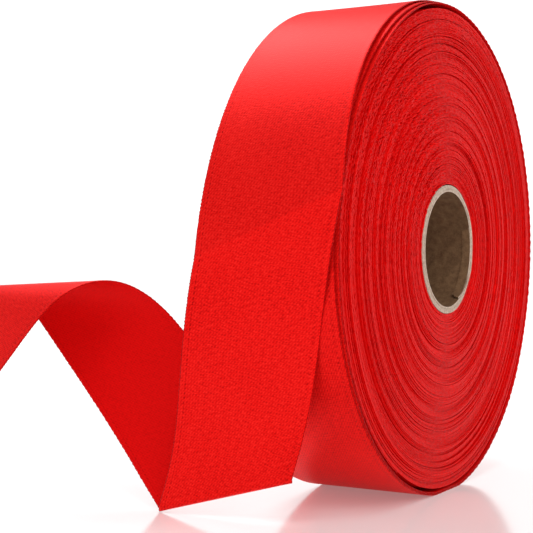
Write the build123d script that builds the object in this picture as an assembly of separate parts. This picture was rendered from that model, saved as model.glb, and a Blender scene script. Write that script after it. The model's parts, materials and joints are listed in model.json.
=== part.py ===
from build123d import *
import os
from math import acos, asin, atan, cos, degrees, pi, radians, sin

# A roll of satin ribbon on a paper core, standing on its rim, with its free end folded on the floor.
# Origin: the centre of the core's bore. +Y runs along the core, +Z is up, and the ribbon leaves
# the roll on the -X side. Lengths are in millimetres and angles in degrees.

# ---------------------------------------------------------------- driving dimensions
RIBBON_WIDTH = 38.0
RIBBON_THICKNESS = 0.3
TURN_PITCH = 0.35
ROLL_RADIUS = 74.0
FLAT_DEPTH = 0.5
BODY_GAP = 0.35

CORE_BORE_RADIUS = 17.5
CORE_PLY_THICKNESS = 0.5
CORE_PLIES = ("core_inner_liner", "core_ply_two", "core_ply_three", "core_outer_ply")

TAPE_THICKNESS = 0.1
TAPE_LENGTH_ANGLE = 60.0
TAPE_WIDTH = 19.0

# Each group of turns sits a little out of line with its neighbours along the core.
GROUP_SHIFTS = (0.1, -0.2, 0.3, -0.1, 0.2, 0.0, -0.3, 0.2, -0.1, 0.3, 0.0)
GROUP_GAP = 0.05

# The loose outer turns step towards +Y, outermost first.
OUTER_TURN_SHIFTS = (0.5, 0.2)
OUTER_TURN_BUTT = 2.0
BUTT_CUT_DEPTH = 9.0

# The lead peels away from the top of the roll and ends at the peel line. A place on the roll is
# (radius, angle up from the -X axis, y), one for each edge of the ribbon.
LEAD_START_ANGLE = 105.0
LEAD_SHIFT = 3.0
PEEL_LEFT = (81.4, -1.0, 20.1)
PEEL_RIGHT = (80.3, 12.1, -23.0)
LEAD_RADIUS_POWERS = (4.5, 1.8)
LEAD_SHIFT_POWERS = (1.5, 2.3)
LEAD_STEPS = 32

# The tail leaves the peel line heading down at this pitch, drifting towards +Y by this yaw.
TAIL_PITCH = 88.9
TAIL_YAW = 13.0
TAIL_LENGTH = 290.0
TAIL_STEP = 0.2
PEEL_GAP = 0.6

# Gentle bending, as (distance along the tail, degrees per 100 mm), and how far the line that
# the tail bends about is skewed from square across it, as (distance, degrees).
SWEEP = (
    (0, 89), (28, 47), (56, -120), (79, -95), (100, 60),
    (128, -8), (148, 74), (208, -6), (224, 0),
)
SKEW = (
    (0, -35.9), (20, -31), (45, -37.6), (71, -28.7), (86, -28.7),
    (110, -50.8), (128, -60), (149, -47.3), (187, -31),
)

# Folds, as (middle, half length, angle).
FLOOR_FOLD = (79.3, 4.5, 186.0)
HUMP = (168.0, 29.8, 137.3)
FOOT_MIDDLE = 255.4
FOOT_HALF_LENGTH = 14.0
FOOT_LEVEL_RUN_IN = 12.0

# ---------------------------------------------------------------- worked out from them
CORE_RADIUS = CORE_BORE_RADIUS + CORE_PLY_THICKNESS * len(CORE_PLIES)
FLOOR_Z = -(ROLL_RADIUS - FLAT_DEPTH)
PACK_INNER_RADIUS = CORE_RADIUS + TAPE_THICKNESS + GROUP_GAP
WRAP_DEPTH = TURN_PITCH * (len(OUTER_TURN_SHIFTS) - 1) + RIBBON_THICKNESS
PACK_OUTER_RADIUS = -FLOOR_Z - WRAP_DEPTH - BODY_GAP


def save(part, node):
    """Write one piece to its own file."""
    export_step(part, f"parts/{node}.step")


def along_y(face_part, width, shift):
    """Extrude a face in the XZ plane to a width centred on the given y."""
    return Pos(0, width / 2 + shift, 0) * extrude(face_part, width, dir=(0, -1, 0))


def disc(radius):
    """A round face in the XZ plane, facing -Y."""
    return Plane.XZ * Circle(radius)


def tube(inner_radius, outer_radius, width, shift=0.0):
    """A plain tube along Y."""
    return along_y(disc(outer_radius) - disc(inner_radius), width, shift)


# ---------------------------------------------------------------- core and pack
def make_core():
    """Concentric paper plies, all as wide as the ribbon."""
    for index, node in enumerate(CORE_PLIES):
        inner = CORE_BORE_RADIUS + index * CORE_PLY_THICKNESS
        save(tube(inner, inner + CORE_PLY_THICKNESS, RIBBON_WIDTH), node)


def make_starter_tape():
    """A patch of tape round part of the core, which holds down the first turn."""
    ring = tube(CORE_RADIUS, CORE_RADIUS + TAPE_THICKNESS, TAPE_WIDTH)
    reach = 2 * CORE_RADIUS
    half = radians(TAPE_LENGTH_ANGLE / 2)
    ahead, aside = reach * cos(half), reach * sin(half)
    wedge = Plane.XZ * Polygon((0, 0), (ahead, aside), (ahead, -aside), align=None)
    sector = along_y(wedge, 2 * RIBBON_WIDTH, 0)
    save(ring & sector, "starter_tape")


def make_pack():
    """Tight turns in nested groups, each a ribbon's width long."""
    depth = (PACK_OUTER_RADIUS - PACK_INNER_RADIUS) / len(GROUP_SHIFTS)
    for index, shift in enumerate(GROUP_SHIFTS):
        outer = PACK_INNER_RADIUS + (index + 1) * depth
        inner = outer - depth + (GROUP_GAP if index else 0.0)
        save(tube(inner, outer, RIBBON_WIDTH, shift), f"ribbon_turns_{index + 1:02d}")


# ---------------------------------------------------------------- loose outer turns
def sagged_disc(inset):
    """The roll's round outline, flat where it stands, moved in by the inset."""
    radius = ROLL_RADIUS - inset
    room = Plane.XZ * Pos(0, FLOOR_Z + inset + radius) * Rectangle(3 * radius, 2 * radius)
    return disc(radius) & room


def make_outer_turns():
    """Single turns round the pack, each with a small butt gap under the lead's start."""
    for index, shift in enumerate(OUTER_TURN_SHIFTS):
        inset = index * TURN_PITCH
        ring = along_y(sagged_disc(inset) - sagged_disc(inset + RIBBON_THICKNESS), RIBBON_WIDTH, shift)
        cutter = Box(BUTT_CUT_DEPTH, 3 * RIBBON_WIDTH, OUTER_TURN_BUTT)
        butt = Rot(0, LEAD_START_ANGLE, 0) * Pos(-ROLL_RADIUS, 0, 0) * cutter
        save(ring - butt, f"outer_turn_{index + 1}")


# ---------------------------------------------------------------- strips that bend in space
def round_roll(radius, angle, y):
    """The point at a radius and an angle up from the -X axis."""
    turn = radians(angle)
    return Vector(-radius * cos(turn), y, radius * sin(turn))


def turned(vector, axis, angle):
    """A vector turned about a unit axis, by radians."""
    along = axis * (axis.dot(vector) * (1 - cos(angle)))
    return vector * cos(angle) + axis.cross(vector) * sin(angle) + along


def read_off(table, distance):
    """Straight-line reading of a (distance, value) table, held level past its ends."""
    if distance <= table[0][0]:
        return table[0][1]
    for (near, low), (far, high) in zip(table, table[1:]):
        if distance <= far:
            return low + (high - low) * (distance - near) / (far - near)
    return table[-1][1]


def cross_section(left, right, normal):
    """The ribbon's thin four-sided section between two edge points."""
    half = normal * (RIBBON_THICKNESS / 2)
    return Face(Wire.make_polygon([left - half, right - half, right + half, left + half], close=True))


def strip(sections):
    """A solid strip through a row of sections."""
    return loft(sections, ruled=True)


def make_lead():
    """The stretch from the outermost turn to the peel line, sprung a little off the roll."""
    start_radius = ROLL_RADIUS + RIBBON_THICKNESS / 2 + GROUP_GAP
    sections = []
    for step in range(LEAD_STEPS + 1):
        part_way = step / LEAD_STEPS
        edges = []
        for side, peel, radius_power, shift_power in zip(
            (1, -1), (PEEL_LEFT, PEEL_RIGHT), LEAD_RADIUS_POWERS, LEAD_SHIFT_POWERS
        ):
            start_y = side * RIBBON_WIDTH / 2 + LEAD_SHIFT
            radius = start_radius + (peel[0] - start_radius) * part_way**radius_power
            angle = LEAD_START_ANGLE + (peel[1] - LEAD_START_ANGLE) * part_way
            edge_y = start_y + (peel[2] - start_y) * part_way**shift_power
            edges.append(round_roll(radius, angle, edge_y))
        middle = (edges[0] + edges[1]) * 0.5
        sections.append(cross_section(*edges, Vector(middle.X, 0, middle.Z).normalized()))
    save(strip(sections), "lead")


def bend_rate(distance, folds):
    """Bending at a distance along the tail, in radians per millimetre."""
    rate = radians(read_off(SWEEP, distance)) / 100
    for middle, half_length, angle in folds:
        away = abs(distance - middle) / half_length
        if away < 1:
            rate += (1 + cos(pi * away)) * radians(angle) / (2 * half_length)
    return rate


def tail_sections():
    """Walk down the tail, and give its cross section at every step."""
    left, right = round_roll(*PEEL_LEFT), round_roll(*PEEL_RIGHT)
    place = (left + right) * 0.5
    ruling = (right - left).normalized()
    pitch, yaw = radians(TAIL_PITCH), radians(TAIL_YAW)
    ahead = Vector(-cos(yaw) * cos(pitch), sin(yaw), -cos(yaw) * sin(pitch))
    skew = asin(ruling.dot(ahead))
    across = (ruling - ahead * sin(skew)) * (1 / cos(skew))
    folds = [FLOOR_FOLD, HUMP]
    skews = list(SKEW)
    foot_start = FOOT_MIDDLE - FOOT_HALF_LENGTH
    sections = []
    for index in range(round(TAIL_LENGTH / TAIL_STEP) + 1):
        distance = index * TAIL_STEP
        if len(folds) == 2 and distance >= foot_start - FOOT_LEVEL_RUN_IN:
            # The foot bends about a level line, by as much as the tail is steep, to lie flat.
            level = degrees(atan(-across.Z / ahead.Z))
            steepness = degrees(acos(abs(ahead.cross(across).Z)))
            folds.append((FOOT_MIDDLE, FOOT_HALF_LENGTH, -steepness))
            skews += [(foot_start, level), (TAIL_LENGTH, level)]
        skew = radians(read_off(skews, distance))
        ruling = across * cos(skew) + ahead * sin(skew)
        half = ruling * (RIBBON_WIDTH / 2 / cos(skew))
        sections.append(cross_section(place - half, place + half, ahead.cross(across)))
        turn = bend_rate(distance + TAIL_STEP / 2, folds) * TAIL_STEP
        place = place + turned(ahead, ruling, turn / 2) * TAIL_STEP
        ahead, across = turned(ahead, ruling, turn), turned(across, ruling, turn)
    return sections


def make_tail():
    """The free end, one node for each stretch between its bends."""
    fold_start, fold_end = FLOOR_FOLD[0] - FLOOR_FOLD[1], FLOOR_FOLD[0] + FLOOR_FOLD[1]
    hump_start, hump_end = HUMP[0] - HUMP[1], HUMP[0] + HUMP[1]
    foot_start = FOOT_MIDDLE - FOOT_HALF_LENGTH
    stretches = (
        ("tail_drop", PEEL_GAP, fold_start, 8.0),
        ("tail_floor_fold", fold_start, fold_end, 0.8),
        ("tail_rise", fold_end, hump_start, 5.0),
        ("tail_hump", hump_start, hump_end, 5.0),
        ("tail_fall", hump_end, foot_start, 8.0),
        ("tail_foot", foot_start, TAIL_LENGTH, 4.0),
    )
    sections = tail_sections()
    for node, start, end, spacing in stretches:
        first, last = round(start / TAIL_STEP), round(end / TAIL_STEP)
        count = max(1, round((last - first) * TAIL_STEP / spacing))
        picks = [first + round((last - first) * index / count) for index in range(count + 1)]
        piece = strip([sections[pick] for pick in picks])
        print(node, "lowest z", round(piece.bounding_box().min.Z, 2), "floor", FLOOR_Z)
        save(piece, node)


os.makedirs("parts", exist_ok=True)
make_core()
make_starter_tape()
make_pack()
make_outer_turns()
make_lead()
make_tail()
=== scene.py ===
import json
from math import asin, atan2, cos, degrees, pi, radians, sin, sqrt

import bmesh
import bpy
import numpy as np
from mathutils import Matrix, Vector


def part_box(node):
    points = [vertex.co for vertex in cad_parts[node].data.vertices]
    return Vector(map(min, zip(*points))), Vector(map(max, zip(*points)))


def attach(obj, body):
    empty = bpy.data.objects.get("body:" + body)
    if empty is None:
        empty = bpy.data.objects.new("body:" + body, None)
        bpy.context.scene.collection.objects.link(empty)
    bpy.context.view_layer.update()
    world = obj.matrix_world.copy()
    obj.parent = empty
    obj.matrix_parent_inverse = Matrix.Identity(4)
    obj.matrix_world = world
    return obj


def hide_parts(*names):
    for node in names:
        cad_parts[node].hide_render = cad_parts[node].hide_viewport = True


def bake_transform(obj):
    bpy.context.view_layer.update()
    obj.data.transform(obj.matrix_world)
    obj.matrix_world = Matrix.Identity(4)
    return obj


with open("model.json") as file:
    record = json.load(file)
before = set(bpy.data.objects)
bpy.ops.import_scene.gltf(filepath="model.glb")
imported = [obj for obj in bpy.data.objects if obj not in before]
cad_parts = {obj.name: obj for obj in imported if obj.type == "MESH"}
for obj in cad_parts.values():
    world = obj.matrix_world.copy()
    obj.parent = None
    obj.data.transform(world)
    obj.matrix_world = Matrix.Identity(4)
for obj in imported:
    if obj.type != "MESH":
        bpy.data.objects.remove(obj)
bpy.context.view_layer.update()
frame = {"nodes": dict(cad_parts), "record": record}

# ------------------------------------------------------------------ sizes, in metres and degrees
# The roll's axis is Y, Z is up and the ribbon leaves the roll on the -X side. A place on the roll
# is (radius, angle up from the -X axis, y).
MM = 0.001
RIBBON_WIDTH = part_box("ribbon_turns_11")[1][1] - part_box("ribbon_turns_11")[0][1]
HALF_WIDTH = RIBBON_WIDTH / 2
RIBBON_THICKNESS = 0.3 * MM
TURN_PITCH = 0.35 * MM
ROLL_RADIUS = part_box("outer_turn_1")[1][0]
FLOOR_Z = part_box("outer_turn_1")[0][2]
SAG = ROLL_RADIUS + FLOOR_Z
CORE_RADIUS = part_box("core_outer_ply")[1][0]
BORE_RADIUS = frame["record"]["mounts"][0]["dims"]["r_mm"] * MM
PLIES = ("core_inner_liner", "core_ply_two", "core_ply_three", "core_outer_ply")
PLY_THICKNESS = (CORE_RADIUS - BORE_RADIUS) / len(PLIES)

# The pack's spiral starts and stops a little inside the outsides of its first and last groups.
FIRST_TURN_INSET = 4.66 * MM
LAST_TURN_INSET = 0.1 * MM
PACK_INNER_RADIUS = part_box("ribbon_turns_01")[1][0] - FIRST_TURN_INSET
PACK_OUTER_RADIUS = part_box("ribbon_turns_11")[1][0] - LAST_TURN_INSET
PACK_END_ANGLE = -60

LEAD_START_ANGLE = 105.0
LEAD_SHIFT = 3.0 * MM
LEAD_MIDDLE_RADIUS = ROLL_RADIUS + 0.2 * MM
LOOSE_INNER_RADIUS = ROLL_RADIUS - 0.8 * MM
PEEL_LEFT = (81.4 * MM, -1.0, 20.1 * MM)
PEEL_RIGHT = (80.3 * MM, 12.1, -23.0 * MM)
LEAD_RADIUS_POWERS = (4.5, 1.8)
LEAD_SHIFT_POWERS = (1.5, 2.3)
LEAD_STEPS = 260

# Down the loose turns from the lead, as (turns before the lead, value): how far a turn stands
# towards +Y in millimetres, and its near edge's share of the lead's lift off the roll.
LOOSE_SHIFTS = (
    (0.0, 3.0), (0.31, 0.0), (0.56, 0.0), (0.72, 0.2), (0.85, -0.5), (1.0, 1.5),
    (1.31, 0.0), (1.56, 0.0), (1.72, -0.7), (1.85, -1.7), (2.0, 0.2), (2.31, 0.0),
)
LOOSE_LIFT_SHARES = (
    (0.56, 0.0), (0.72, 0.25), (0.85, 0.6), (1.2, 0.7), (1.4, 0.0),
    (1.56, 0.0), (1.72, 0.06), (1.85, 0.35), (2.2, 0.5), (2.4, 0.0),
)
LOOSE_SMOOTHING = 15  # stations each way

TAIL_PITCH = 88.9
TAIL_YAW = 13.0
TAIL_LENGTH = 290.0 * MM

# The tail's gentle bending, as (millimetres along it, degrees per 100 mm), and the skew of the
# line that it bends about, as (millimetres, degrees).
SWEEP = (
    (0, 89), (28, 47), (56, -120), (79, -95), (100, 60),
    (128, -8), (148, 74), (208, -6), (224, 0),
)
SKEW = (
    (0, -35.9), (20, -31), (45, -37.6), (71, -28.7), (86, -28.7),
    (110, -50.8), (128, -60), (149, -47.3), (187, -31),
)

# Folds, as (middle, half length, angle), in millimetres and degrees. The foot's angle is what
# lays it flat.
FLOOR_FOLD = (79.3, 4.5, 186.0)
HUMP = (168.0, 29.8, 137.3)
FOOT = (255.4, 14.0)
FOOT_LEVEL_RUN_IN = 12.0

# Turns of the pack stand out of line along the core in ridges, as (height, turns from one to the
# next), with a few sunk turns and one buckle near the top.
RIDGES = ((0.5 * MM, 5.5), (0.35 * MM, 16))
TURN_JITTER = 0.05 * MM
SUNK_SHARE = 0.05
SUNK_DEPTH = 0.5 * MM
BUCKLE_DEPTH = 0.9 * MM
BUCKLE_TURN_SHARE = 0.86
BUCKLE_TURNS = 5
BUCKLE_ANGLE = 96
BUCKLE_SPREAD = 7
WANDER = 0.22 * MM
WANDER_STATIONS = 160

# The wound selvedges' random beads, in millimetres: plain ones, and fluffed ones round one angle,
# which counts from the bottom of the roll up its -X side.
BEAD_PLAIN = 0.05
BEAD_FLUFFED = 0.26
FLUFFED_ANGLE = 140
FLUFFED_SPREAD = 45

# How much each end of a ply stops short, in millimetres, from the liner outwards.
PLY_SHORTFALLS = (0.0, 0.15, 0.05, 0.1)
PLY_FILL = 0.94
END_UNEVENNESS = 0.16 * MM

# The liner's lapped edge runs round the mouth from one angle, and its last part is torn. It
# reaches this many millimetres in, and less where it is torn.
LAP_START_ANGLE = 158
LAP_ANGLE = 84
LAP_TORN_FROM = 0.88
LAP_REACH = 2.4
LAP_WIDENING = 0.5
LAP_TORN_AWAY = 1.9

CAMERA_AZIMUTH = -59.85
CAMERA_ELEVATION = 1.77
CAMERA_DISTANCE = 0.4336
CAMERA_LEFT = 0.0389
CAMERA_DOWN = 0.0055
CAMERA_LENS = 94.33

SHARP_STRIP_ANGLE = 50
SHARP_PLY_ANGLE = 40

random = np.random.default_rng(7)


# ------------------------------------------------------------------ small tools
def round_roll(radius, angle, y):
    """The point at a radius and an angle up from the -X axis."""
    turn = np.radians(angle)
    return np.stack([-radius * np.cos(turn), y + 0 * turn, radius * np.sin(turn)], axis=-1)


def turned(vector, axis, angle):
    """A vector turned about a unit axis, by radians."""
    along = axis * np.dot(axis, vector)
    return vector * cos(angle) + np.cross(axis, vector) * sin(angle) + along * (1 - cos(angle))


def smooth_noise(length, step):
    """A smooth random curve from -1 to 1 with a value at each sample, and knots a step apart."""
    knots = random.uniform(-1, 1, int(length / step) + 3)
    place = np.arange(length) / step
    base = place.astype(int)
    blend = place - base
    blend = blend * blend * (3 - 2 * blend)
    return knots[base] * (1 - blend) + knots[base + 1] * blend


def new_object(name, mesh):
    """Link a mesh to the scene."""
    made = bpy.data.objects.new(name, mesh)
    bpy.context.scene.collection.objects.link(made)
    return made


def strip_object(name, sections, flat):
    """A closed strip from sections of n points over the outer face and n back along the inner one.

    sections is (stations, 2n, 3), and flat is the same with the (along, across) of each point.
    """
    stations, around = sections.shape[:2]
    index = np.arange(stations * around).reshape(stations, around)
    after = np.roll(index, -1, axis=1)
    quads = np.stack([index[:-1], index[1:], after[1:], after[:-1]], axis=-1).reshape(-1, 4)
    top = np.arange(around // 2 - 1)
    under = around - 1 - top
    first, last = index[0], index[-1]
    quads = np.concatenate(
        [
            quads,
            np.stack([first[top], first[top + 1], first[under - 1], first[under]], axis=-1),
            np.stack([last[top], last[under], last[under - 1], last[top + 1]], axis=-1),
        ]
    )
    mesh = bpy.data.meshes.new(name)
    mesh.vertices.add(stations * around)
    mesh.vertices.foreach_set("co", sections.reshape(-1))
    mesh.loops.add(quads.size)
    mesh.loops.foreach_set("vertex_index", quads.reshape(-1))
    mesh.polygons.add(len(quads))
    mesh.polygons.foreach_set("loop_start", np.arange(0, quads.size, 4))
    mesh.polygons.foreach_set("use_smooth", np.ones(len(quads), bool))
    layer = mesh.uv_layers.new(name="ribbon")
    layer.data.foreach_set("uv", flat.reshape(-1, 2)[quads.reshape(-1)].reshape(-1))
    mesh.update(calc_edges=True)
    mesh.validate()
    mesh.set_sharp_from_angle(angle=radians(SHARP_STRIP_ANGLE))
    return new_object(name, mesh)


# ------------------------------------------------------------------ materials
# The shiny cloth has ribs along it, a twill across them, random threads and a sewn line inside
# each selvedge. A thin dark line painted along each edge stands for the shade there.
RIB_PERIOD = 0.85 * MM
TWILL_PERIODS = (1.3 * MM, 0.8 * MM)
DASH_SLANT = 27
DASH_STRETCH = 0.28
DASH_SCALE = 2300.0
DASH_SHARE = 0.72
STITCH_PERIOD = 1.5 * MM
STITCH_INSET = 1.8 * MM
STITCH_HALF_WIDTH = 0.2 * MM
RIM_SHADE_WIDTH = 0.2 * MM


def material(name, slot_color):
    """A node material with its Principled shader."""
    made = bpy.data.materials.new(name)
    made.use_nodes = True
    made.diffuse_color = (*slot_color, 1)
    shader = made.node_tree.nodes["Principled BSDF"]
    return made, made.node_tree, shader


def add(tree, kind, **settings):
    """A node with its settings made."""
    node = tree.nodes.new(kind)
    for key, value in settings.items():
        setattr(node, key, value)
    return node


def maths(tree, operation, first, second=None, third=None):
    """A Math node on sockets or numbers."""
    node = add(tree, "ShaderNodeMath", operation=operation)
    for socket, value in zip(node.inputs, (first, second, third)):
        if value is None:
            continue
        if isinstance(value, (int, float)):
            socket.default_value = value
        else:
            tree.links.new(value, socket)
    return node.outputs[0]


def ramp(tree, factor, *stops):
    """A colour ramp with (place, colour) stops."""
    node = add(tree, "ShaderNodeValToRGB")
    elements = node.color_ramp.elements
    while len(elements) < len(stops):
        elements.new(0.5)
    for element, (place, color) in zip(elements, stops):
        element.position = place
        element.color = (*color, 1)
    tree.links.new(factor, node.inputs["Fac"])
    return node.outputs["Color"]


def noise(tree, vector, scale, detail=2.0):
    """A noise texture's value."""
    node = add(tree, "ShaderNodeTexNoise")
    node.inputs["Scale"].default_value = scale
    node.inputs["Detail"].default_value = detail
    tree.links.new(vector, node.inputs["Vector"])
    return node.outputs["Fac"]


def ribbon_coordinates(tree):
    """Sockets for the flat ribbon's coordinates: both together, along and across."""
    flat = add(tree, "ShaderNodeUVMap", uv_map="ribbon").outputs["UV"]
    split = add(tree, "ShaderNodeSeparateXYZ")
    tree.links.new(flat, split.inputs["Vector"])
    return flat, split.outputs["X"], split.outputs["Y"]


def wave(tree, along, across, along_period, across_period):
    """A sine from 0 to 1 over the flat ribbon, with a period in metres each way."""
    total = maths(tree, "MULTIPLY", across, 2 * pi / across_period)
    if along_period:
        total = maths(tree, "ADD", total, maths(tree, "MULTIPLY", along, 2 * pi / along_period))
    return maths(tree, "MULTIPLY_ADD", maths(tree, "SINE", total), 0.5, 0.5)


def add_bump(tree, shader, height, distance, strength):
    """Drive the shader's normal from a height from 0 to 1."""
    node = add(tree, "ShaderNodeBump")
    node.inputs["Distance"].default_value = distance
    node.inputs["Strength"].default_value = strength
    tree.links.new(height, node.inputs["Height"])
    tree.links.new(node.outputs["Normal"], shader.inputs["Normal"])


def mix(tree, first, second, first_share):
    """Two values in shares that add up to one."""
    rest = maths(tree, "MULTIPLY", second, round(1 - first_share, 6))
    return maths(tree, "MULTIPLY_ADD", first, first_share, rest)


def thread_dashes(tree, flat):
    """Short random dashes that lie along the twill."""
    slanted = add(tree, "ShaderNodeMapping", vector_type="POINT")
    slanted.inputs["Rotation"].default_value = (0, 0, radians(DASH_SLANT))
    slanted.inputs["Scale"].default_value = (1.0, DASH_STRETCH, 1.0)
    tree.links.new(flat, slanted.inputs["Vector"])
    return noise(tree, slanted.outputs["Vector"], DASH_SCALE, 1.0)


def satin(name, dark, middle, light, relief, roughness):
    """One side of the ribbon: ribs, twill and random threads, with sewn selvedges and painted shade
    along the rims.
    """
    made, tree, shader = material(name, middle)
    flat, along, across = ribbon_coordinates(tree)
    ribs = wave(tree, along, across, None, RIB_PERIOD)
    twill = wave(tree, along, across, *TWILL_PERIODS)
    regular = mix(tree, ribs, twill, 0.4)
    weave = mix(tree, thread_dashes(tree, flat), regular, DASH_SHARE)
    from_edge = maths(tree, "SUBTRACT", HALF_WIDTH, maths(tree, "ABSOLUTE", across))
    stitches = maths(tree, "GREATER_THAN", wave(tree, across, along, None, STITCH_PERIOD), 0.5)
    on_line = maths(tree, "COMPARE", from_edge, STITCH_INSET, STITCH_HALF_WIDTH)
    weave = maths(tree, "MULTIPLY_ADD", maths(tree, "MULTIPLY", stitches, on_line), -0.22, weave)
    # Painted shade: the weave is darkened within a fifth of a millimetre of each edge, for the dark
    # line of shade along the ribbon's edges.
    painted_rim_shade = maths(tree, "LESS_THAN", from_edge, RIM_SHADE_WIDTH)
    weave = maths(tree, "MULTIPLY_ADD", painted_rim_shade, -0.4, weave)
    clouds = noise(tree, flat, 30.0, 3.0)
    tone = mix(tree, clouds, weave, 0.2)
    color = ramp(tree, tone, (0.12, dark), (0.48, middle), (0.8, light))
    tree.links.new(color, shader.inputs["Base Color"])
    rough = maths(tree, "MULTIPLY_ADD", weave, 0.16, roughness)
    tree.links.new(rough, shader.inputs["Roughness"])
    add_bump(tree, shader, weave, relief, 0.8)
    redden(shader)
    return made


def redden(shader):
    """Dyed fibres shine in their own colour."""
    shader.inputs["Metallic"].default_value = 0.35
    shader.inputs["Specular IOR Level"].default_value = 0.15
    shader.inputs["Specular Tint"].default_value = (1.0, 0.10, 0.08, 1.0)


def stacked_edges():
    """The wound selvedges on the roll's sides: lighter and darker turns, with beaded threads."""
    made, tree, shader = material("stacked_edges", (0.62, 0.012, 0.02))
    flat = ribbon_coordinates(tree)[0]
    bead = noise(tree, flat, 650.0, 2.0)
    slow = noise(tree, flat, 5.0, 3.0)
    tone = mix(tree, bead, slow, 0.4)
    dark, middle, light = (0.46, 0.001, 0.002), (0.72, 0.004, 0.004), (0.92, 0.014, 0.011)
    color = ramp(tree, tone, (0.3, dark), (0.5, middle), (0.72, light))
    tree.links.new(color, shader.inputs["Base Color"])
    rough = maths(tree, "MULTIPLY_ADD", bead, 0.25, 0.35)
    tree.links.new(rough, shader.inputs["Roughness"])
    add_bump(tree, shader, bead, 0.3 * MM, 0.9)
    redden(shader)
    return made


def paper(name, dark, light, fibre_scale, roughness):
    """Matt paper with fibres, speckle and slight unevenness."""
    made, tree, shader = material(name, light)
    place = add(tree, "ShaderNodeTexCoord").outputs["Object"]
    fibres = noise(tree, place, fibre_scale, 6.0)
    speckle = noise(tree, place, fibre_scale * 5, 2.0)
    tone = mix(tree, fibres, speckle, 0.65)
    tree.links.new(ramp(tree, tone, (0.32, dark), (0.68, light)), shader.inputs["Base Color"])
    tree.links.new(maths(tree, "MULTIPLY_ADD", speckle, 0.1, roughness), shader.inputs["Roughness"])
    add_bump(tree, shader, tone, 0.08 * MM, 0.8)
    shader.inputs["Specular IOR Level"].default_value = 0.25
    return made


def tape_film():
    """Dull crepe tape."""
    return paper("tape_film", (0.55, 0.45, 0.28), (0.80, 0.70, 0.48), 2500.0, 0.5)


# ------------------------------------------------------------------ the wound pack
def pack_offsets(turn, angle):
    """How far each station of the wound ribbon sits out of line along the core."""
    turns = int(turn[-1]) + 3
    ridges = sum(height * smooth_noise(turns, spacing) for height, spacing in RIDGES)
    jitter = random.uniform(-1, 1, turns) * TURN_JITTER
    sunk = np.where(random.random(turns) < SUNK_SHARE, SUNK_DEPTH, 0.0)
    turns_away = (turn - BUCKLE_TURN_SHARE * turns) / BUCKLE_TURNS
    angle_away = (angle % 360 - BUCKLE_ANGLE) / BUCKLE_SPREAD
    buckle = BUCKLE_DEPTH * np.exp(-(turns_away**2) - angle_away**2)
    wander = WANDER * smooth_noise(len(turn), WANDER_STATIONS)
    return np.interp(turn, np.arange(turns), ridges + jitter + sunk) + wander - buckle


def make_pack(edges_material):
    """One spiral strip from the core to the loose turns, in three lengths."""
    step = 0.66 * MM
    length = pi * (PACK_OUTER_RADIUS**2 - PACK_INNER_RADIUS**2) / TURN_PITCH
    stations = int(length / step)
    distance = np.arange(stations + 1) * step
    radius = np.sqrt(PACK_INNER_RADIUS**2 + TURN_PITCH * distance / pi)
    turn = (radius - PACK_INNER_RADIUS) / TURN_PITCH
    angle = 360 * (turn[-1] - turn) + PACK_END_ANGLE
    offset = pack_offsets(turn, angle)
    fluffed = np.exp(-((((angle + 90) % 360 - FLUFFED_ANGLE) / FLUFFED_SPREAD) ** 2))
    bead_size = (BEAD_PLAIN + BEAD_FLUFFED * fluffed[:, None]) * MM
    bead = random.uniform(-1, 1, (stations + 1, 2)) * bead_size
    near_y = offset - HALF_WIDTH + bead[:, 0]
    far_y = offset + HALF_WIDTH + bead[:, 1]
    inner = radius - RIBBON_THICKNESS
    corners = ((radius, near_y), (radius, far_y), (inner, far_y), (inner, near_y))
    sections = np.stack([round_roll(from_axis, angle, y) for from_axis, y in corners], axis=1)
    side = np.array([-HALF_WIDTH, HALF_WIDTH, HALF_WIDTH, -HALF_WIDTH])
    flat = np.stack(np.broadcast_arrays(distance[:, None], side[None]), axis=-1)
    nodes = [f"ribbon_turns_{index:02d}" for index in range(1, 12)]
    cut = np.linspace(0, stations, 4).astype(int)
    for part, replaced in enumerate((nodes[:6], nodes[6:9], nodes[9:])):
        low, high = cut[part], cut[part + 1] + 1
        piece = strip_object(f"wound_ribbon_{part + 1}", sections[low:high], flat[low:high])
        piece.data.materials.append(edges_material)
        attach(piece, "roll")
        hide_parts(*replaced)


# ------------------------------------------------------------------ sheets of ribbon
# Points across the mesh, in millimetres at first, stand closer together at the selvedges, whose
# edge is a fine picot.
NEAR_EDGE = np.array([17.3, 18.2, 18.85, 19.0])
ACROSS = np.concatenate([-NEAR_EDGE[::-1], np.linspace(-16.8, 16.8, 21), NEAR_EDGE])
ACROSS = ACROSS / NEAR_EDGE[-1] * HALF_WIDTH
SELVEDGE_MIDDLE = 0.8 * MM
SELVEDGE_REACH = 0.9 * MM
SELVEDGE_SWELL = 0.25
EDGE_THINNING = 0.35
PICOT_PERIOD = 1.1 * MM
PICOT_HEIGHT = 0.09 * MM
PICOT_JITTER = 0.05 * MM
PICOT_BAND = 0.3 * MM


def thickness_profile(across):
    """Half the thickness: a rolled selvedge, thin at the very edge, and even between."""
    from_edge = HALF_WIDTH - np.abs(across)
    plain = RIBBON_THICKNESS / 2
    roll = np.clip(1 - np.abs(from_edge - SELVEDGE_MIDDLE) / SELVEDGE_REACH, 0, 1)
    ends = np.where(from_edge < 0.05 * MM, EDGE_THINNING, 1.0)
    return (plain * (1 + SELVEDGE_SWELL * roll)) * ends


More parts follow.
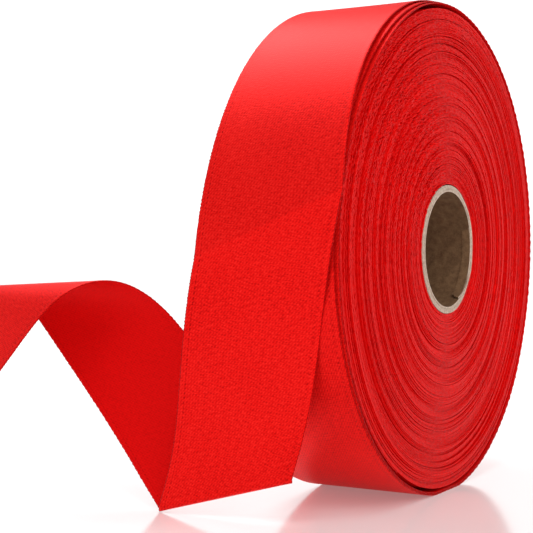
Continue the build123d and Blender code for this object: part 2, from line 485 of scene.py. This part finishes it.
def ribbon_sheet(name, along, middle, ruling, normal, skew):
    """A sheet from its stations.

    middle is the centre line, ruling the unit line across it, normal points to the shiny side, and
    skew is the angle of the ruling from square, in radians.
    """
    picot = PICOT_HEIGHT * np.sin(2 * pi * along / PICOT_PERIOD)
    picot = picot + PICOT_JITTER * random.uniform(-1, 1, len(along))
    outward = np.sign(ACROSS) * (np.abs(ACROSS) > HALF_WIDTH - PICOT_BAND)
    reach = ACROSS[None, :] + outward[None, :] * picot[:, None]
    stretch = 1 / np.cos(skew)
    spine = middle[:, None, :] + ruling[:, None, :] * (reach * stretch[:, None])[:, :, None]
    rise = thickness_profile(ACROSS)[None, :, None] * normal[:, None, :]
    sections = np.concatenate([spine + rise, (spine - rise)[:, ::-1]], axis=1)
    flat_along = along[:, None] + ACROSS[None, :] * np.tan(skew)[:, None]
    flat = np.stack(np.broadcast_arrays(flat_along, ACROSS[None, :]), axis=-1)
    flat = np.concatenate([flat, flat[:, ::-1]], axis=1)
    made = strip_object(name, sections, flat)
    made.data.materials.append(satin_front)
    made.data.materials.append(shaded_satin_back)
    column = np.arange(len(made.data.polygons)) % (2 * len(ACROSS))
    made.data.polygons.foreach_set("material_index", (column >= len(ACROSS)).astype(int))
    return made


def smoothed(values, reach):
    """A running mean over a number of samples each way, with the ends held."""
    padded = np.pad(values, reach, mode="edge")
    return np.convolve(padded, np.ones(2 * reach + 1) / (2 * reach + 1), mode="valid")


def make_loose_turns():
    """The loose outer turns, flat where the roll stands and sprung out under the lead's near edge."""
    turns = (LEAD_MIDDLE_RADIUS - LOOSE_INNER_RADIUS) / TURN_PITCH
    step = 0.8 * MM
    length = 2 * pi * turns * (LEAD_MIDDLE_RADIUS + LOOSE_INNER_RADIUS) / 2
    along = np.arange(0, length, step)
    before = turns * (1 - along / along[-1])
    radius = LEAD_MIDDLE_RADIUS - TURN_PITCH * before
    angle = LEAD_START_ANGLE + 360 * before
    shift = smoothed(np.interp(before, *zip(*LOOSE_SHIFTS)), LOOSE_SMOOTHING) * MM
    wrapped = (angle + 90) % 360 - 90
    way = np.clip((LEAD_START_ANGLE - wrapped) / (LEAD_START_ANGLE - PEEL_RIGHT[1]), 0, 1)
    lift = (PEEL_RIGHT[0] - LEAD_MIDDLE_RADIUS) * way ** LEAD_RADIUS_POWERS[1]
    lift = lift * smoothed(np.interp(before, *zip(*LOOSE_LIFT_SHARES)), LOOSE_SMOOTHING)
    middle = round_roll(radius + lift / 2, angle, shift)
    middle[:, 2] = np.maximum(middle[:, 2], -(radius - SAG))
    normal = round_roll(np.ones_like(radius), angle, 0)
    on_flat = middle[:, 2] <= -(radius - SAG) + 1e-9
    normal[on_flat] = (0, 0, -1)
    ruling = np.array([0.0, -RIBBON_WIDTH, 0.0]) + normal * lift[:, None]
    ruling /= np.linalg.norm(ruling, axis=1)[:, None]
    piece = ribbon_sheet("loose_turns", along, middle, ruling, normal, np.zeros(len(along)))
    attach(piece, "wrap")
    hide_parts("outer_turn_1", "outer_turn_2")


def lead_stations():
    """Distance, centre line, ruling, normal and skew down the lead."""
    way = np.linspace(0, 1, LEAD_STEPS + 1)
    edges = []
    for side, peel, radius_power, shift_power in zip(
        (1, -1), (PEEL_LEFT, PEEL_RIGHT), LEAD_RADIUS_POWERS, LEAD_SHIFT_POWERS
    ):
        start_y = side * HALF_WIDTH + LEAD_SHIFT
        radius = LEAD_MIDDLE_RADIUS + (peel[0] - LEAD_MIDDLE_RADIUS) * way**radius_power
        angle = LEAD_START_ANGLE + (peel[1] - LEAD_START_ANGLE) * way
        edges.append(round_roll(radius, angle, start_y + (peel[2] - start_y) * way**shift_power))
    middle = (edges[0] + edges[1]) / 2
    ruling = edges[1] - edges[0]
    width = np.linalg.norm(ruling, axis=1)
    ruling /= width[:, None]
    ahead = np.gradient(middle, axis=0)
    normal = np.cross(ahead, ruling)
    normal /= np.linalg.norm(normal, axis=1)[:, None]
    skew = -np.arccos(np.clip(RIBBON_WIDTH / width, -1, 1))
    along = np.concatenate([[0], np.cumsum(np.linalg.norm(np.diff(middle, axis=0), axis=1))])
    return along, middle, ruling, normal, skew


def bend_rate(distance, folds):
    """Bending at a distance along the tail in millimetres, in radians per millimetre."""
    rate = radians(np.interp(distance, *zip(*SWEEP))) / 100
    for middle, half_length, angle in folds:
        away = abs(distance - middle) / half_length
        if away < 1:
            rate += (1 + cos(pi * away)) * radians(angle) / (2 * half_length)
    return rate


def tail_stations(step):
    """Distance, centre line, ruling, normal and skew down the tail."""
    left, right = round_roll(*PEEL_LEFT), round_roll(*PEEL_RIGHT)
    place = (left + right) / 2
    ruling = (right - left) / np.linalg.norm(right - left)
    pitch, yaw = radians(TAIL_PITCH), radians(TAIL_YAW)
    ahead = np.array([-cos(yaw) * cos(pitch), sin(yaw), -cos(yaw) * sin(pitch)])
    skew = asin(ruling @ ahead)
    across = (ruling - ahead * sin(skew)) / cos(skew)
    folds = [FLOOR_FOLD, HUMP]
    skews = list(SKEW)
    foot_start = FOOT[0] - FOOT[1]
    rows = []
    for index in range(round(TAIL_LENGTH / step) + 1):
        distance = index * step / MM
        if len(folds) == 2 and distance >= foot_start - FOOT_LEVEL_RUN_IN:
            level = degrees(atan2(across[2], -ahead[2]))
            slope = degrees(np.arccos(abs(np.cross(ahead, across)[2])))
            folds.append((*FOOT, -slope))
            skews += [(foot_start, level), (TAIL_LENGTH / MM, level)]
        skew = radians(np.interp(distance, *zip(*skews)))
        ruling = across * cos(skew) + ahead * sin(skew)
        rows.append((index * step, place, ruling, np.cross(ahead, across), skew))
        turn = bend_rate(distance + step / MM / 2, folds) * step / MM
        place = place + turned(ahead, ruling, turn / 2) * step
        ahead, across = turned(ahead, ruling, turn), turned(across, ruling, turn)
    return [np.array(column) for column in zip(*rows)]


def make_free_end():
    """The lead and the tail as one sheet."""
    step = 0.4 * MM
    lead = lead_stations()
    tail = tail_stations(step)
    tail[0] = tail[0] + lead[0][-1]
    along, middle, ruling, normal, skew = [
        np.concatenate([first[:-1], second]) for first, second in zip(lead, tail)
    ]
    facing = np.sign(np.sum(normal * round_roll(1.0, 60.0, 0.0), axis=1)[0])
    piece = ribbon_sheet("free_end", along, middle, ruling, normal * facing, skew)
    stretches = ("drop", "floor_fold", "rise", "hump", "fall", "foot")
    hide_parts("lead", *(f"tail_{stretch}" for stretch in stretches))
    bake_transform(piece)


# ------------------------------------------------------------------ the core
def ply_object(name, inner, outer, half_length):
    """A paper tube with slightly uneven cut ends."""
    steps = 180
    angle = np.linspace(0, 360, steps, endpoint=False)
    rows = []
    for radius, lift in ((outer, -1), (outer, 1), (inner, 1), (inner, -1)):
        wobble = END_UNEVENNESS * np.roll(smooth_noise(steps, 9), 1) * np.hanning(steps)
        rows.append(round_roll(radius, angle, lift * (half_length + wobble)))
    rings = np.stack(rows, axis=1)
    index = np.arange(steps * 4).reshape(steps, 4)
    ahead = np.roll(index, -1, axis=0)
    quads = []
    for corner in range(4):
        after = (corner + 1) % 4
        loop = [index[:, corner], ahead[:, corner], ahead[:, after], index[:, after]]
        quads.append(np.stack(loop, axis=-1))
    mesh = bpy.data.meshes.new(name)
    mesh.from_pydata(rings.reshape(-1, 3).tolist(), [], np.concatenate(quads).tolist())
    mesh.polygons.foreach_set("use_smooth", np.ones(len(mesh.polygons), bool))
    mesh.set_sharp_from_angle(angle=radians(SHARP_PLY_ANGLE))
    mesh.update()
    return new_object(name, mesh)


def liner_overlap():
    """The liner's lapped edge just inside the mouth, which ends in a small torn flap."""
    steps = 90
    way = np.linspace(0, 1, steps + 1)
    angle = LAP_START_ANGLE + LAP_ANGLE * way
    torn = np.clip((way - LAP_TORN_FROM) / (1 - LAP_TORN_FROM), 0, 1)
    reach = (LAP_REACH + LAP_WIDENING * way - LAP_TORN_AWAY * torn**2) * MM
    reach = reach * np.clip(way / 0.04, 0.05, 1)
    reach = reach + 0.12 * MM * random.uniform(-1, 1, steps + 1)
    reach = reach + 0.45 * MM * torn * random.uniform(-1, 1, steps + 1)
    lift = (0.30 + 0.9 * torn) * MM
    across = np.linspace(0, 1, 5)
    y = -HALF_WIDTH + 0.1 * MM + np.abs(reach)[:, None] * across[None, :]
    top = BORE_RADIUS - lift[:, None] * (0.5 + 0.5 * across[None, :])
    under = BORE_RADIUS - 0.02 * MM - (lift[:, None] - 0.3 * MM) * across[None, :]
    spread = np.repeat(angle[:, None], len(across), axis=1)
    faces = round_roll(top, spread, y), round_roll(under, spread, y)[:, ::-1]
    sections = np.concatenate(faces, axis=1)
    return strip_object("liner_overlap", sections, np.zeros((*sections.shape[:2], 2)))


def join_meshes(kept, added):
    """Move one object's mesh into another's."""
    joined = bmesh.new()
    joined.from_mesh(kept.data)
    joined.from_mesh(added.data)
    joined.to_mesh(kept.data)
    joined.free()
    bpy.data.objects.remove(added)


def lies_on_bore(face):
    """Whether a face is part of the bore's wall or of the lap on it."""
    middle = face.center
    from_axis = sqrt(middle.x**2 + middle.z**2)
    return abs(face.normal.y) < 0.7 and from_axis < BORE_RADIUS + 0.01 * MM


def make_core(rim_paper, bore_paper):
    """The paper plies, with the lapped edge joined to the liner."""
    for index, (node, shortfall) in enumerate(zip(PLIES, PLY_SHORTFALLS)):
        inner = BORE_RADIUS + index * PLY_THICKNESS
        outer = inner + PLY_THICKNESS * PLY_FILL
        piece = ply_object(f"visual_{node}", inner, outer, HALF_WIDTH - shortfall * MM)
        if index == 0:
            join_meshes(piece, liner_overlap())
        piece.data.materials.append(rim_paper)
        piece.data.materials.append(bore_paper)
        for face in piece.data.polygons:
            face.material_index = 1 if lies_on_bore(face) else 0
        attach(piece, "roll")
        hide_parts(node)


# ------------------------------------------------------------------ floor, light and camera
def make_floor():
    """A glossy white sheet, flat and large."""
    made, tree, shader = material("floor_white", (0.9, 0.9, 0.9))
    place = add(tree, "ShaderNodeTexCoord").outputs["Object"]
    haze = ramp(tree, noise(tree, place, 3.0), (0.3, (0.80,) * 3), (0.7, (0.84,) * 3))
    tree.links.new(haze, shader.inputs["Base Color"])
    shader.inputs["Roughness"].default_value = 0.14
    shader.inputs["IOR"].default_value = 3.0
    shader.inputs["Emission Color"].default_value = (1, 1, 1, 1)
    shader.inputs["Emission Strength"].default_value = 0.16
    half = 6.0
    corners = ((-half, -half), (half, -half), (half, half), (-half, half))
    mesh = bpy.data.meshes.new("floor")
    mesh.from_pydata([(x, y, FLOOR_Z - 0.05 * MM) for x, y in corners], [], [(0, 1, 2, 3)])
    floor = new_object("floor", mesh)
    mesh.materials.append(made)


def area_light(name, place, target, size, energy):
    """A square soft box aimed at a point."""
    data = bpy.data.lights.new(name, "AREA")
    data.size = size
    data.energy = energy
    lamp = bpy.data.objects.new(name, data)
    lamp.location = place
    lamp.rotation_euler = (Vector(target) - Vector(place)).to_track_quat("-Z", "Y").to_euler()
    bpy.context.scene.collection.objects.link(lamp)


def make_light():
    """Surroundings that are white round the horizon and dimmer above, and three soft boxes."""
    scene = bpy.context.scene
    world = bpy.data.worlds.new("studio")
    world.use_nodes = True
    tree = world.node_tree
    split = add(tree, "ShaderNodeSeparateXYZ")
    tree.links.new(add(tree, "ShaderNodeTexCoord").outputs["Generated"], split.inputs["Vector"])
    height = maths(tree, "ABSOLUTE", split.outputs["Z"])
    glow = ramp(tree, height, (0.20, (1, 1, 1)), (0.36, (0.25, 0.25, 0.25)))
    tree.links.new(glow, tree.nodes["Background"].inputs["Color"])
    tree.nodes["Background"].inputs["Strength"].default_value = 1.25
    scene.world = world
    scene.view_settings.view_transform = "Standard"
    area_light("top_box", (0.20, 0.45, 0.75), (-0.03, 0, 0.04), size=0.5, energy=4.5)
    area_light("front_box", (-0.60, -0.20, 0.95), (0, 0, 0), size=0.6, energy=5.0)
    area_light("side_box", (-0.35, -0.90, 0.55), (0, 0, 0), size=0.6, energy=3.8)


def make_camera():
    """A camera almost level with the core, to the front of the roll and to its side."""
    azimuth, elevation = radians(CAMERA_AZIMUTH), radians(CAMERA_ELEVATION)
    back = Vector((sin(azimuth) * cos(elevation), -cos(azimuth) * cos(elevation), sin(elevation)))
    right = Vector((cos(azimuth), sin(azimuth), 0))
    up = back.cross(right)
    data = bpy.data.cameras.new("camera")
    data.lens = CAMERA_LENS
    data.clip_start = 0.01
    camera = bpy.data.objects.new("camera", data)
    camera.location = back * CAMERA_DISTANCE - right * CAMERA_LEFT - up * CAMERA_DOWN
    camera.rotation_euler = (pi / 2 - elevation, 0, azimuth)
    bpy.context.scene.collection.objects.link(camera)
    bpy.context.scene.camera = camera


make_camera()
satin_front = satin(
    "satin_front",
    dark=(0.34, 0.002, 0.002),
    middle=(0.78, 0.007, 0.006),
    light=(0.96, 0.024, 0.018),
    relief=0.07 * MM,
    roughness=0.34,
)
# The back face is a darker copy of the front satin: painted shade for a side that faces down and away
# from the lights, with a smoother, duller weave of its own.
shaded_satin_back = satin(
    "shaded_satin_back",
    dark=(0.50, 0.002, 0.002),
    middle=(0.72, 0.004, 0.004),
    light=(0.82, 0.007, 0.007),
    relief=0.02 * MM,
    roughness=0.48,
)
edges_material = stacked_edges()
rim_paper = paper(
    "rim_paper",
    dark=(0.36, 0.26, 0.19),
    light=(0.64, 0.51, 0.41),
    fibre_scale=900.0,
    roughness=0.75,
)
bore_paper = paper(
    "bore_paper",
    dark=(0.10, 0.048, 0.021),
    light=(0.21, 0.115, 0.055),
    fibre_scale=500.0,
    roughness=0.8,
)
make_core(rim_paper, bore_paper)
frame["nodes"]["starter_tape"].data.materials.clear()
frame["nodes"]["starter_tape"].data.materials.append(tape_film())
make_pack(edges_material)
make_loose_turns()
make_free_end()
make_floor()
make_light()
